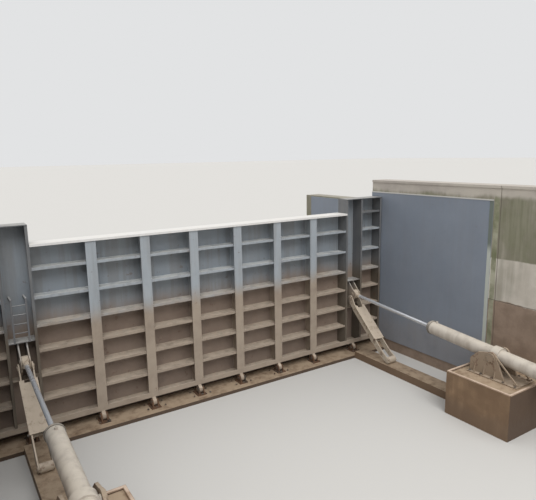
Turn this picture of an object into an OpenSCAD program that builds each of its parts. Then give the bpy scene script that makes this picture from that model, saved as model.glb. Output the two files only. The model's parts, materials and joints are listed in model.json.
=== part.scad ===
/* [Leaf] */
// Spacing of the upright girders
bay_pitch = 1715; // [1500:5:1900]
// Height of the crest above the leaf's underside
crest_rise = 5635; // [5400:5:5800]
// Depth of the first row of ribs below the crest
first_row = 735; // [650:5:820]
// Spacing of the first three rows of ribs
upper_pitch = 860; // [800:5:900]
// Spacing of the rows below them, where the water presses harder
lower_pitch = 780; // [700:5:800]
// Depth of the leaf, from the girder flanges to the back of the skin
leaf_depth = 560; // [520:10:900]
// Height of the leaf's underside above the foundation
leaf_foot = 450; // [430:10:520]
// Rise of the end columns above the crest
end_rise = 580; // [400:10:800]
// Thickness of the skin plate
skin_t = 20; // [12:1:30]
// Thickness of the webs of the girders and columns
web_t = 20; // [12:1:30]
// Width of a girder's flange
flange_w = 320; // [240:10:400]
// Thickness of the flanges
flange_t = 25; // [16:1:40]
// Thickness of the horizontal ribs
rib_t = 16; // [10:1:24]
// Height of the flat bar along a rib's front edge
rib_bar_h = 80; // [50:5:120]
// Thickness of that flat bar
rib_bar_t = 14; // [8:1:20]
// Distance from the front of the flanges to the front of the ribs
rib_setback = 46; // [42:1:90]
// Thickness of the crest plate
crest_t = 25; // [16:1:40]
// Overhang of the crest plate, front and back
crest_lip = 40; // [15:5:80]
// Height of the nosing along the crest plate's front edge
nosing_h = 70; // [40:5:100]
// Height of the flat bar along the front of the bottom plate
foot_bar_h = 140; // [80:10:240]
// Hairline between two plates that a weld joins
weld_gap = 0.05; // [0.02:0.01:0.1]

/* [Ends of the leaf] */
// Width of the open bay that takes the drive
column_w = 845; // [780:5:900]
// Width of the ribbed bay at each end
outer_w = 1105; // [900:5:1300]
// Width of the flat bars on the front edges of the end plates
edge_bar_w = 80; // [50:5:100]
// Gap between the leaf's end and the side lining
side_gap = 40; // [25:1:60]
// Running clearance of the rubber seals
seal_gap = 6; // [5:1:10]

/* [Hinges] */
// Height of the hinge line above the foundation
hinge_z = 280; // [270:5:300]
// Radius of the hinge pins
hinge_pin_r = 60; // [45:1:70]
// Radius of the lugs and bearing eyes round the pins
hinge_eye_r = 120; // [100:1:130]
// Thickness of a leaf lug
lug_t = 120; // [80:5:160]
// Thickness of one cheek of a bearing
bearing_cheek_t = 50; // [30:5:70]
// Side clearance between a lug and its bearing
lug_gap = 5; // [5:1:10]
// Reach of a lug along the leaf's underside
lug_reach = 420; // [300:10:600]
// Length of a bearing's base, along the channel
bearing_base_l = 460; // [400:10:500]
// Width of a bearing's base
bearing_base_w = 340; // [320:10:400]
// Radial clearance of every turning or sliding fit
fit_gap = 0.05; // [0.02:0.01:0.1]

/* [Cylinders] */
// Distance of the trunnions downstream of the hinge line
trunnion_out = 6800; // [6700:10:7000]
// Height of the trunnions above the pier blocks
trunnion_rise = 665; // [600:5:760]
// Outer radius of the barrel
barrel_r = 225; // [200:5:240]
// Inner radius of the barrel
bore_r = 185; // [160:5:190]
// Radius of the piston rod
rod_r = 65; // [50:1:75]
// Length of the barrel ahead of the trunnions
barrel_front = 2600; // [2400:10:2700]
// Length of the barrel behind the trunnions
barrel_back = 2140; // [1900:10:2300]
// Radius of the trunnion pins
trunnion_r = 90; // [70:1:100]
// Radius of the threaded hole of a hose port
port_r = 15; // [12:1:20]
// Depth of that hole
port_depth = 45; // [30:5:50]
// Height of a port's boss above the barrel
port_rise = 60; // [55:5:80]
// Distance of the ports from the ends of the barrel's bore
port_in = 160; // [120:10:240]
// Distance of the rod's pin ahead of the leaf's front
rod_pin_out = 60; // [40:5:90]
// Height of the rod's pin above the foundation
rod_pin_z = 2640; // [2620:5:2700]
// Radius of the rod's eye
rod_eye_r = 190; // [160:5:200]
// Width of the rod's eye
rod_eye_w = 180; // [150:5:190]
// Thickness of the cheeks that hold the rod's pin
cheek_t = 40; // [25:1:50]
// Clearance between the rod's eye and those cheeks
eye_gap = 10; // [5:1:20]
// Reach of the trunnion stand's base ahead of the trunnions
stand_ahead = 760; // [720:10:900]
// Reach of the stand's base behind the trunnions
stand_behind = 980; // [900:10:1100]

/* [Brackets] */
// Rise of a bracket's roof above the rod's pin
bracket_up = 560; // [520:10:640]
// Drop of a bracket's floor below the prop's head pin
bracket_down = 455; // [430:5:500]
// Distance behind the leaf's front at which the cheeks meet the floor plate
bracket_neck = 210; // [180:10:300]
// Thickness of the roof and floor plates
bracket_plate_t = 25; // [16:1:40]

/* [Props] */
// Distance of the prop's head pin ahead of the leaf's front
prop_pin_out = 20; // [10:5:40]
// Height of the prop's head pin above the foundation
prop_pin_z = 2455; // [2430:5:2470]
// Length of a prop from its head pin to its foot pin
prop_len = 2995; // [2900:5:3060]
// Height of the foot pin above the foundation
prop_foot_z = 420; // [410:5:440]
// Width of a prop's top plate
prop_w = 500; // [460:10:560]
// Radius of the foot roller
prop_roller_r = 130; // [110:5:140]

/* [Ladder] */
// Length of the short ladder above the left bracket
ladder_len = 1300; // [1000:50:2000]
// Spacing of its rungs
rung_pitch = 275; // [230:5:320]

/* [Concrete] */
// Thickness of a side wall
wall_t = 800; // [500:50:1200]
// Rise of the side walls above the linings beside and below the leaf
wall_rise = 485; // [400:5:800]
// Rise of the side walls above the lower linings upstream
wall_low_rise = 50; // [20:5:200]
// Height of the coping along a wall's top edge
coping_h = 90; // [60:10:160]
// Overhang of that coping
coping_out = 30; // [10:5:40]
// Reach of the walls downstream of the hinge line
wall_down = 9500; // [9300:50:10500]
// Reach of the walls upstream of the hinge line
wall_up = 5400; // [5100:50:6000]
// Thickness of the sill slab
sill_h = 120; // [100:5:120]
// Reach of the sill downstream of the hinge line
sill_down = 500; // [400:20:700]
// Reach of the sill upstream of the leaf
sill_up = 400; // [300:20:700]
// Reach of a pier block ahead of the trunnions
block_ahead = 1070; // [1000:10:1200]
// Reach of a pier block behind the trunnions
block_behind = 1180; // [1120:10:1400]
// Height of a pier block
block_h = 1430; // [1300:10:1560]
// Distance from the cylinder's axis to the block's free side
block_side = 1090; // [900:10:1200]
// Width of the raised rim round the block
rim_w = 80; // [50:5:120]
// Height of that rim
rim_h = 50; // [30:5:100]

/* [Side linings] */
// Thickness of the lining plates
lining_t = 30; // [15:1:50]
// Rise of the linings above the ends of the leaf
lining_rise = 210; // [150:10:300]
// Height of the flat bar along a lining's top
lining_bar_h = 40; // [30:5:60]
// Width of the strip that frames a lining's downstream end
lining_strip_w = 160; // [100:10:240]
// Reach of the tall part of linings and walls upstream of the leaf
tall_beyond = 60; // [20:10:200]
// Drop from the tall part of the linings to the part upstream
lining_drop = 475; // [300:5:600]
// Reach of the linings downstream of the hinge line
lining_down = 5105; // [5050:5:5500]
// Reach of the linings upstream of the hinge line
lining_up = 4970; // [3000:10:5050]

/* [Hidden] */

$fn = 64;
bays = 7;
upper_rows = 3;
main_half = bays * bay_pitch / 2;
crest_z = leaf_foot + crest_rise;
end_top = crest_z + end_rise;
bottom_t = 30;
column_x = main_half + column_w / 2;
leaf_half = main_half + column_w + outer_w;
lining_face = leaf_half + side_gap;
lining_top = end_top + lining_rise;
lining_low = lining_top - lining_drop;
tall_up = leaf_depth + tall_beyond;
wall_face = lining_face + lining_t;
wall_top = lining_top + wall_rise;
skin_face = leaf_depth - skin_t;
web_foot = leaf_foot + bottom_t;
flange_foot = web_foot + foot_bar_h;

// The cylinder's axis runs from the trunnion up to the rod's pin
trunnion_z = block_h + trunnion_rise;
trunnion = [-trunnion_out, trunnion_z];
rod_pin = [-rod_pin_out, rod_pin_z];
axis_rise = atan2(rod_pin_z - trunnion_z, trunnion_out - rod_pin_out);
axis_len = norm(rod_pin - trunnion);

// The prop leans so that its foot pin stands at its own height
prop_pin = [-prop_pin_out, prop_pin_z];
prop_lean = acos((prop_pin_z - prop_foot_z) / prop_len);

block_front = block_ahead - trunnion_out;
block_back = -block_behind - trunnion_out;

function at(centre, r, a) = [centre[0] + r * cos(a), centre[1] + r * sin(a)];

// Height of the top of the rib row k, counted down from the crest
function row_z(k) = crest_z - first_row - (min(k, upper_rows) - 1) * upper_pitch
                    - max(k - upper_rows, 0) * lower_pitch;

module slab(low, high) {
    translate(low)
        cube(high - low);
}

// Extrudes an outline drawn in Y and Z along X
module profile_x(x0, x1) {
    translate([x0, 0, 0])
        rotate([90, 0, 90])
            linear_extrude(x1 - x0)
                children();
}

module round_x(centre, r, x0, x1) {
    translate([x0, centre[0], centre[1]])
        rotate([0, 90, 0])
            cylinder(r = r, h = x1 - x0);
}

// Local Z runs along the cylinder's axis from the trunnion to the rod's pin
module on_cylinder_axis(side) {
    translate([side * column_x, trunnion[0], trunnion[1]])
        rotate([axis_rise - 90, 0, 0])
            children();
}

module on_left() {
    mirror([1, 0, 0])
        children();
}

module sill_slab() {
    color([0.56, 0.51, 0.44]) {
        slab([-wall_face, -sill_down, 0], [wall_face, leaf_depth + sill_up, sill_h]);
        slab([-wall_face, skin_face - 20, sill_h], [wall_face, leaf_depth + sill_up, leaf_foot - 20]);
    }
}

hinge = [0, hinge_z];
hinge_x = concat([for (i = [1:bays - 1]) (i - bays / 2) * bay_pitch], [-column_x, column_x]);
bearing_base_t = 30;
bearing_top = sill_h + bearing_base_t;

module bearing_cheek() {
    bearing_foot = bearing_base_l / 2 - 50;
    difference() {
        profile_x(lug_t / 2 + lug_gap, lug_t / 2 + lug_gap + bearing_cheek_t)
            union() {
                translate(hinge)
                    circle(r = hinge_eye_r);
                polygon([[-bearing_foot, bearing_top], at(hinge, hinge_eye_r, 160),
                         at(hinge, hinge_eye_r, 20), [bearing_foot, bearing_top]]);
            }
        round_x(hinge, hinge_pin_r + fit_gap, 0, lug_t + bearing_cheek_t);
    }
}

module hinge_bearings() {
    color([0.30, 0.31, 0.33])
        for (x = hinge_x)
            translate([x, 0, 0]) {
                slab([-bearing_base_w / 2, -bearing_base_l / 2, sill_h],
                     [bearing_base_w / 2, bearing_base_l / 2, bearing_top]);
                bearing_cheek();
                on_left()
                    bearing_cheek();
            }
}

hinge_pin_half = lug_t / 2 + lug_gap + bearing_cheek_t + 15;

module hinge_pins() {
    color([0.55, 0.55, 0.56])
        for (x = hinge_x)
            round_x(hinge, hinge_pin_r, x - hinge_pin_half, x + hinge_pin_half);
}

module hinge_lugs() {
    color([0.40, 0.43, 0.47])
        for (x = hinge_x)
            difference() {
                profile_x(x - lug_t / 2, x + lug_t / 2)
                    union() {
                        translate(hinge)
                            circle(r = hinge_eye_r);
                        polygon([at(hinge, hinge_eye_r, 180), [0, leaf_foot], [lug_reach, leaf_foot],
                                 at(hinge, hinge_eye_r, -40)]);
                    }
                round_x(hinge, hinge_pin_r + fit_gap, x - lug_t, x + lug_t);
            }
}

module side_wall() {
    back = wall_face + wall_t;
    color([0.60, 0.57, 0.52]) {
        slab([wall_face, -wall_down, 0], [back, tall_up, wall_top]);
        slab([wall_face, tall_up, 0], [back, wall_up, lining_low + wall_low_rise]);
        slab([wall_face - coping_out, -wall_down, wall_top - coping_h], [back, tall_up, wall_top]);
    }
}

// A smooth plate, lower upstream, with a bar along its top and a set-back strip downstream
module side_lining() {
    foot = leaf_foot - 20;
    bar_out = 12;
    strip_back = 10;
    strip_end = -lining_down - lining_strip_w;
    color([0.43, 0.47, 0.52]) {
        slab([lining_face, -lining_down, foot], [wall_face, tall_up, lining_top]);
        slab([lining_face, tall_up, foot], [wall_face, lining_up, lining_low]);
        slab([lining_face + strip_back, strip_end, foot], [wall_face, -lining_down, lining_top]);
        slab([lining_face - bar_out, strip_end, lining_top - lining_bar_h],
             [wall_face, tall_up, lining_top]);
    }
}

module pier_block() {
    x0 = column_x - block_side;
    color([0.55, 0.48, 0.40]) {
        slab([x0, block_back, 0], [wall_face, block_front, block_h]);
        slab([x0, block_back, block_h], [x0 + rim_w, block_front, block_h + rim_h]);
        slab([x0, block_back, block_h], [wall_face, block_back + rim_w, block_h + rim_h]);
        slab([x0, block_front - rim_w, block_h], [wall_face, block_front, block_h + rim_h]);
    }
}

collar_r = barrel_r + 60;
stand_in = collar_r + 25;
stand_t = 70;
stand_base_t = 40;
stand_head_r = 190;
stand_margin = 40;
stand_foot = 100;
stand_gusset_t = 30;
stand_top = block_h + stand_base_t;

// A cheek of the stand: upright in front, with a slanting back
module stand_cheek() {
    front = trunnion[0] + stand_ahead - stand_margin;
    back = trunnion[0] - stand_behind / 2;
    shoulder = [trunnion[0] + stand_ahead * 0.6, trunnion[1] + 70];
    brow = [front, trunnion[1] - stand_head_r];
    difference() {
        profile_x(stand_in, stand_in + stand_t)
            union() {
                translate(trunnion)
                    circle(r = stand_head_r);
                polygon([[back, stand_top], at(trunnion, stand_head_r, 165), at(trunnion, stand_head_r, 100),
                         shoulder, brow, [front, stand_top]]);
            }
        round_x(trunnion, trunnion_r + fit_gap, 0, stand_in * 2);
    }
}

// A raking bar behind each cheek, from the trunnion's cap down to the base
module stand_brace() {
    bar = 60;
    back = trunnion[0] - stand_behind + stand_margin + bar;
    head = at(trunnion, stand_head_r, 150);
    slab([stand_in, back - bar, stand_top], [stand_in + stand_t, back + bar, stand_top + bar]);
    profile_x(stand_in + stand_t / 4, stand_in + stand_t * 3 / 4)
        polygon([[back - bar / 2, stand_top + bar], head, [head[0] + bar, head[1]],
                 [back + bar / 2, stand_top + bar]]);
}

// A triangular gusset on the outer face of a cheek
module stand_gusset(y) {
    x0 = stand_in + stand_t;
    rise = 330;
    translate([0, y + stand_gusset_t / 2, 0])
        rotate([90, 0, 0])
            linear_extrude(stand_gusset_t)
                polygon([[x0, stand_top], [x0 + stand_foot - 20, stand_top], [x0, stand_top + rise]]);
}

module stand_side() {
    stand_cheek();
    stand_brace();
    stand_gusset(trunnion[0] - stand_head_r);
    stand_gusset(trunnion[0] + stand_head_r);
    stand_gusset(trunnion[0] + stand_ahead * 0.7);
}

// The base plate is an outline like the cheeks, so that they meet at the same height
module stand_base() {
    half = stand_in + stand_t + stand_foot;
    back = trunnion[0] - stand_behind;
    front = trunnion[0] + stand_ahead;
    profile_x(-half, half)
        polygon([[back, block_h], [front, block_h], [front, stand_top], [back, stand_top]]);
}

module trunnion_stand(side) {
    color([0.55, 0.54, 0.50])
        translate([side * column_x, 0, 0]) {
            stand_base();
            stand_side();
            on_left()
                stand_side();
        }
}

track_w = 640;
track_top = prop_foot_z - prop_roller_r - 5;

module prop_track() {
    color([0.52, 0.47, 0.41])
        slab([column_x - track_w / 2, block_front, 0], [column_x + track_w / 2, -sill_down, track_top]);
}

module skin_plate() {
    color([0.42, 0.45, 0.49])
        translate([0, leaf_depth, 0])
            rotate([90, 0, 0])
                linear_extrude(skin_t)
                    polygon([[-leaf_half, leaf_foot], [leaf_half, leaf_foot],
                             [leaf_half, end_top - crest_t], [main_half, end_top - crest_t],
                             [main_half, crest_z - crest_t], [-main_half, crest_z - crest_t],
                             [-main_half, end_top - crest_t], [-leaf_half, end_top - crest_t]]);
}

// The plate that the water flows over, with a nosing that hangs down from its front edge
module crest_plate() {
    nosing_t = 10;
    color([0.90, 0.89, 0.87]) {
        slab([-main_half, -crest_lip, crest_z - crest_t], [main_half, leaf_depth + crest_lip, crest_z]);
        slab([-main_half, -crest_lip, crest_z - nosing_h],
             [main_half, nosing_t - crest_lip, crest_z - crest_t - weld_gap]);
    }
}

module bottom_beam() {
    color([0.45, 0.42, 0.38]) {
        slab([-leaf_half, 0, leaf_foot], [leaf_half, skin_face, web_foot]);
        slab([-leaf_half, 0, web_foot + weld_gap], [leaf_half, flange_t, flange_foot]);
    }
}

module seals() {
    seal_out = side_gap - seal_gap;
    seal_back = leaf_depth - 10;
    color([0.12, 0.12, 0.12]) {
        for (side = [0, 1])
            mirror([side, 0, 0])
                slab([leaf_half, skin_face - 30, leaf_foot], [leaf_half + seal_out, seal_back, end_top]);
        slab([-leaf_half, skin_face - 10, leaf_foot - 20 + seal_gap], [leaf_half, seal_back, leaf_foot]);
    }
}

module girder(i) {
    x = (i - bays / 2) * bay_pitch;
    top = crest_z - crest_t;
    color([0.55, 0.58, 0.61]) {
        slab([x - web_t / 2, flange_t, web_foot], [x + web_t / 2, skin_face, top]);
        slab([x - flange_w / 2, 0, flange_foot], [x + flange_w / 2, flange_t, top]);
    }
}

// One rib: a shelf plate with a flat bar along its front edge
module rib(x0, x1, z) {
    bar_back = rib_setback + rib_bar_t;
    slab([x0, bar_back, z - rib_t], [x1, skin_face, z]);
    slab([x0, rib_setback, z - rib_t / 2 - rib_bar_h / 2], [x1, bar_back, z - rib_t / 2 + rib_bar_h / 2]);
}

module rib_row(k) {
    z = row_z(k);
    outer_in = main_half + column_w;
    color([0.50, 0.52, 0.54]) {
        for (i = [0:bays - 1]) {
            x0 = (i - bays / 2) * bay_pitch;
            left_edge = i == 0 ? x0 : x0 + web_t / 2;
            right_edge = i == bays - 1 ? x0 + bay_pitch : x0 + bay_pitch - web_t / 2;
            rib(left_edge, right_edge, z);
        }
        rib(outer_in, leaf_half - web_t, z);
        rib(-leaf_half + web_t, -outer_in, z);
    }
}

// An end plate with a flat bar on its front edge, its outer face at x
module edge_plate(x, bar_x) {
    top = end_top - crest_t - weld_gap;
    slab([x - web_t, flange_t + weld_gap, web_foot], [x, skin_face, top]);
    slab([bar_x, 0, flange_foot], [bar_x + edge_bar_w, flange_t, top]);
}

// The open bay has no ribs, so that the rod's eye and the prop swing inside it
module box_column() {
    x0 = main_half;
    x1 = main_half + column_w;
    top = end_top - crest_t;
    color([0.33, 0.34, 0.36]) {
        edge_plate(x0 + web_t, x0);
        edge_plate(x1, x1 - web_t / 2 - edge_bar_w / 2);
        slab([x0, -crest_lip / 2, top], [x1, leaf_depth, end_top]);
    }
}

module outer_bay() {
    x0 = main_half + column_w;
    top = end_top - crest_t;
    color([0.42, 0.44, 0.46]) {
        edge_plate(leaf_half, leaf_half - edge_bar_w);
        slab([x0, -crest_lip / 2, top], [leaf_half, leaf_depth, end_top]);
        rib(x0, leaf_half - web_t - weld_gap, crest_z);
    }
}

cheek_in = rod_eye_w / 2 + eye_gap;
cheek_out = cheek_in + cheek_t;
pin_head_t = 15;
pin_head_r = 95;
prop_stub_r = 70;
prop_head_r = 150;
prop_side_in = cheek_out + 2 * pin_head_t;
prop_side_t = 40;
prop_side_out = prop_side_in + prop_side_t;
bracket_top = rod_pin_z + bracket_up;
bracket_foot = prop_pin_z - bracket_down;

module bracket_cheek() {
    head_r = 210;
    profile_x(cheek_in, cheek_out)
        union() {
            translate(rod_pin)
                circle(r = head_r);
            translate(prop_pin)
                circle(r = prop_head_r);
            polygon([[skin_face, bracket_foot], [bracket_neck, bracket_foot], at(prop_pin, prop_head_r, 215),
                     at(prop_pin, prop_head_r, 180), at(rod_pin, head_r, 190), at(rod_pin, head_r, 110),
                     [bracket_neck, bracket_top], [skin_face, bracket_top]]);
        }
    round_x(rod_pin, pin_head_r, cheek_out, cheek_out + pin_head_t);
    round_x(prop_pin, prop_stub_r, cheek_out, prop_side_out + pin_head_t);
}

// Two cheeks between a roof plate and a floor plate that tie them to the bay's sides
module drive_bracket(side) {
    bay_half = column_w / 2 - web_t;
    color([0.40, 0.39, 0.37])
        translate([side * column_x, 0, 0]) {
            slab([-bay_half, rib_setback, bracket_top],
                 [bay_half, skin_face, bracket_top + bracket_plate_t]);
            slab([-bay_half, bracket_neck, bracket_foot - bracket_plate_t],
                 [bay_half, skin_face, bracket_foot]);
            bracket_cheek();
            on_left()
                bracket_cheek();
        }
}

module access_ladder() {
    rail = 50;
    half = 200;
    foot = 60;
    low = bracket_top + bracket_plate_t;
    high = low + ladder_len;
    rail_front = rib_setback;
    rail_back = rail_front + rail * 0.8;
    color([0.45, 0.44, 0.42])
        translate([-column_x, 0, 0]) {
            for (side = [-1, 1])
                slab([side * half - rail / 2, rail_front, low], [side * half + rail / 2, rail_back, high]);
            for (side = [-1, 1])
                slab([side * half - rail / 2, rail_back, high - foot],
                     [side * half + rail / 2, skin_face, high]);
            for (z = [low + rung_pitch:rung_pitch:high - foot])
                translate([-half, (rail_front + rail_back) / 2, z])
                    rotate([0, 90, 0])
                        cylinder(r = 14, h = half * 2, $fn = 24);
        }
}

gland_flange_t = 60;
gland_nose = 80;
cap_t = 90;
port_boss_r = 38;
port_top = barrel_r + port_rise;
passage_r = 8;
port_places = [barrel_front - port_in, cap_t + port_in - barrel_back];

// A round hole that runs up from the cylinder's axis
module hole_up(r, low, high) {
    translate([0, -low, 0])
        rotate([90, 0, 0])
            cylinder(r = r, h = high - low, $fn = 32);
}

// A boss seated on the barrel, with a threaded hole and a narrower passage below it
module port_boss() {
    difference() {
        hole_up(port_boss_r, 0, port_top);
        translate([0, 0, -2 * port_boss_r])
            cylinder(r = barrel_r + fit_gap, h = 4 * port_boss_r);
        hole_up(port_r, port_top - port_depth, port_top + 1);
        hole_up(passage_r, 0, port_top);
    }
}

module ports(side) {
    color([0.62, 0.59, 0.54])
        on_cylinder_axis(side)
            for (z = port_places)
                translate([0, 0, z])
                    port_boss();
}

module barrel(side) {
    color([0.72, 0.68, 0.62])
        on_cylinder_axis(side)
            difference() {
                translate([0, 0, -barrel_back])
                    cylinder(r = barrel_r, h = barrel_back + barrel_front);
                translate([0, 0, cap_t - barrel_back])
                    cylinder(r = bore_r, h = barrel_back + barrel_front);
                for (z = port_places)
                    translate([0, 0, z])
                        hole_up(passage_r, 0, port_top);
            }
}

module gland(side) {
    color([0.62, 0.59, 0.54])
        on_cylinder_axis(side)
            translate([0, 0, barrel_front])
                difference() {
                    union() {
                        cylinder(r = barrel_r + 22, h = gland_flange_t);
                        cylinder(r = barrel_r - 30, h = gland_flange_t + gland_nose);
                    }
                    translate([0, 0, -1])
                        cylinder(r = rod_r + fit_gap, h = gland_flange_t + gland_nose + 2);
                }
}

module trunnion_collar(side) {
    collar_len = 260;
    color([0.64, 0.61, 0.56])
        on_cylinder_axis(side)
            difference() {
                union() {
                    translate([0, 0, -collar_len / 2])
                        cylinder(r = collar_r, h = collar_len);
                    translate([-stand_in - stand_t - 15, 0, 0])
                        rotate([0, 90, 0])
                            cylinder(r = trunnion_r, h = 2 * (stand_in + stand_t + 15));
                }
                translate([0, 0, -collar_len])
                    cylinder(r = barrel_r + fit_gap, h = collar_len * 2);
            }
}

rod_neck = 330;

module rod(side) {
    piston_t = 200;
    piston_z = barrel_front - 450;
    color([0.80, 0.81, 0.83])
        on_cylinder_axis(side) {
            translate([0, 0, piston_z])
                cylinder(r = bore_r - fit_gap, h = piston_t);
            translate([0, 0, piston_z])
                cylinder(r = rod_r, h = axis_len - rod_neck - piston_z);
        }
}

module rod_eye(side) {
    groove_r = 84;
    groove_t = 6;
    color([0.45, 0.43, 0.40])
        on_cylinder_axis(side)
            translate([0, 0, axis_len])
                difference() {
                    union() {
                        translate([-rod_eye_w / 2, 0, 0])
                            rotate([0, 90, 0])
                                cylinder(r = rod_eye_r, h = rod_eye_w);
                        translate([0, 0, -rod_neck])
                            cylinder(r = rod_eye_w / 2, h = rod_neck);
                    }
                    for (face = [-1, 1])
                        translate([face * rod_eye_w / 2 - groove_t, 0, 0])
                            rotate([0, 90, 0])
                                difference() {
                                    cylinder(r = groove_r, h = groove_t * 2);
                                    cylinder(r = groove_r - groove_t, h = groove_t * 2);
                                }
                }
}

// Local -Z runs down the prop from its head pin to its foot pin
module on_prop(side) {
    translate([side * column_x, prop_pin[0], prop_pin[1]])
        rotate([-prop_lean, 0, 0])
            children();
}

prop_upper = -50;
prop_lower = 170;
prop_open_foot = 940;
roller_gap = 5;

module prop_side() {
    head = [0, 0];
    foot = [0, -prop_len];
    foot_r = 110;
    taper = 350;
    difference() {
        profile_x(prop_side_in, prop_side_out)
            union() {
                translate(head)
                    circle(r = prop_head_r);
                translate(foot)
                    circle(r = foot_r);
                polygon([at(head, prop_head_r, 180), at(head, prop_head_r, 0), [prop_lower, -taper],
                         [prop_lower, taper - prop_len], at(foot, foot_r, 0), at(foot, foot_r, 180),
                         [prop_upper, taper - prop_len], [prop_upper, -taper]]);
            }
        round_x(head, prop_stub_r + fit_gap, 0, prop_w);
    }
}

// Two side plates, a top plate with a slot that the rod passes, an underside plate and a foot roller
module prop(side) {
    cover_t = 30;
    cover_top = -420;
    cover_foot = prop_open_foot - prop_len;
    slot_foot = cover_top - 90;
    slot_half = rod_eye_w / 2 + 25;
    axle = prop_side_out + pin_head_t;
    axle_r = 60;
    color([0.62, 0.58, 0.53])
        on_prop(side) {
            prop_side();
            on_left()
                prop_side();
            difference() {
                slab([-prop_w / 2, prop_upper - cover_t, cover_foot], [prop_w / 2, prop_upper, cover_top]);
                slab([-slot_half, prop_upper - 2 * cover_t, slot_foot], [slot_half, 0, 0]);
            }
            slab([-prop_side_out, prop_lower, cover_foot], [prop_side_out, prop_lower + cover_t, cover_top]);
            round_x([0, -prop_len], axle_r, -axle, axle);
            round_x([0, -prop_len], prop_roller_r, roller_gap - prop_side_in, prop_side_in - roller_gap);
        }
}

sill_slab();
hinge_bearings();
hinge_pins();
on_left() side_wall();  // left_wall
side_wall();  // right_wall
on_left() side_lining();  // left_lining
side_lining();  // right_lining
on_left() pier_block();  // left_pier_block
pier_block();  // right_pier_block
trunnion_stand(-1);  // left_trunnion_stand
trunnion_stand(1);  // right_trunnion_stand
on_left() prop_track();  // left_prop_track
prop_track();  // right_prop_track
skin_plate();
crest_plate();
bottom_beam();
hinge_lugs();
seals();
girder(1);  // girder_1
girder(2);  // girder_2
girder(3);  // girder_3
girder(4);  // girder_4
girder(5);  // girder_5
girder(6);  // girder_6
rib_row(1);  // rib_row_1
rib_row(2);  // rib_row_2
rib_row(3);  // rib_row_3
rib_row(4);  // rib_row_4
rib_row(5);  // rib_row_5
rib_row(6);  // rib_row_6
on_left() box_column();  // left_box_column
box_column();  // right_box_column
on_left() outer_bay();  // left_outer_bay
outer_bay();  // right_outer_bay
drive_bracket(-1);  // left_drive_bracket
drive_bracket(1);  // right_drive_bracket
access_ladder();
barrel(-1);  // left_barrel
barrel(1);  // right_barrel
ports(-1);  // left_ports
ports(1);  // right_ports
gland(-1);  // left_gland
gland(1);  // right_gland
trunnion_collar(-1);  // left_trunnion_collar
trunnion_collar(1);  // right_trunnion_collar
rod(-1);  // left_rod
rod(1);  // right_rod
rod_eye(-1);  // left_rod_eye
rod_eye(1);  // right_rod_eye
prop(-1);  // left_prop
prop(1);  // right_prop
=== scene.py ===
import json
import math
import bmesh
import bpy
import numpy as np
from mathutils import Matrix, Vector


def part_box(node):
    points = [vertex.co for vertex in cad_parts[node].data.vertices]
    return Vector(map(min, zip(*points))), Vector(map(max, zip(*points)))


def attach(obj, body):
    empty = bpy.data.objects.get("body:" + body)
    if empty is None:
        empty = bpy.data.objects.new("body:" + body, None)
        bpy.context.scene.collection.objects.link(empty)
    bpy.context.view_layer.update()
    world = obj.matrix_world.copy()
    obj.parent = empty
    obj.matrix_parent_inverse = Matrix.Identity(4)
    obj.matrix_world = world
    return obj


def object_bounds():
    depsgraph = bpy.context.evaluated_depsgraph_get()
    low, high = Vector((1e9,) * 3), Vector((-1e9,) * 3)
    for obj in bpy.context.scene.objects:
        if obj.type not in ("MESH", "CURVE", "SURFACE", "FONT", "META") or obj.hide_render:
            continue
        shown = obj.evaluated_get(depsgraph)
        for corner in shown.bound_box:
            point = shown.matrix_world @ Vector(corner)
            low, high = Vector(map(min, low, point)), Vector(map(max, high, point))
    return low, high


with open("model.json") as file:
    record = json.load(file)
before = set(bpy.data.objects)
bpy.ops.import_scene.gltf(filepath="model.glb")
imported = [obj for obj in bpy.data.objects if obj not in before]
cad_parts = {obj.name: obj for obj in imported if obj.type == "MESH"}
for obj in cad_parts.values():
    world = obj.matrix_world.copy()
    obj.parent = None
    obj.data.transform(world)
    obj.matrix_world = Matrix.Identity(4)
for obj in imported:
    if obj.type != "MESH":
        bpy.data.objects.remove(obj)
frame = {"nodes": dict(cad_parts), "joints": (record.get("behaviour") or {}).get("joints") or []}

cadLow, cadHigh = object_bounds()
nodes = frame["nodes"]
joints = {joint["name"]: joint for joint in frame["joints"]}
sides = ("left", "right")
liningLow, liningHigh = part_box("right_lining")
axisX, axisY, axisZ = np.eye(3)
hair = 1e-4  # points less than this apart share a plane
steep = 0.9  # a direction with more than this along an axis is crossed with another axis
print("frame loaded,", len(nodes), "nodes")


# points and meshes; a shell is an array of points and a list of faces

def corners(node):  # every vertex of a node at rest, one row each
    mesh = nodes[node].data
    flat = np.empty(len(mesh.vertices) * 3)
    mesh.vertices.foreach_get("co", flat)
    return flat.reshape(-1, 3)


def reach(node, origin, direction):  # nearest and farthest point of a node along a direction
    along = (corners(node) - origin) @ direction
    return along.min(), along.max()


def span(node):  # lowest and highest corner as arrays
    low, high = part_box(node)
    return np.array(low), np.array(high)


def levels(values):  # the different values, lowest first
    return np.unique(np.round(values, 4))


def unit(vector):
    vector = np.array(vector, float)
    return vector / np.linalg.norm(vector)


def gridFaces(rows, columns, closedRows=False):
    # quads between neighbours of a grid whose columns are closed, and its rows too where asked
    r = np.arange(rows if closedRows else rows - 1)[:, None]
    c = np.arange(columns)[None, :]
    r1, c1 = (r + 1) % rows, (c + 1) % columns
    quads = np.stack([r * columns + c, r * columns + c1, r1 * columns + c1, r1 * columns + c], -1)
    return quads.reshape(-1, 4).tolist()


def tube(rings):  # a shell through rings of equally many points, closed at both ends
    rows, count = rings.shape[:2]
    ends = [list(range(count)), [rows * count - 1 - k for k in range(count)]]
    return rings.reshape(-1, 3), gridFaces(rows, count) + ends


def joined(shells):  # several shells as one
    faces, start = [], 0
    for points, own in shells:
        faces += [[index + start for index in face] for face in own]
        start += len(points)
    return np.concatenate([points for points, own in shells]), faces


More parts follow.
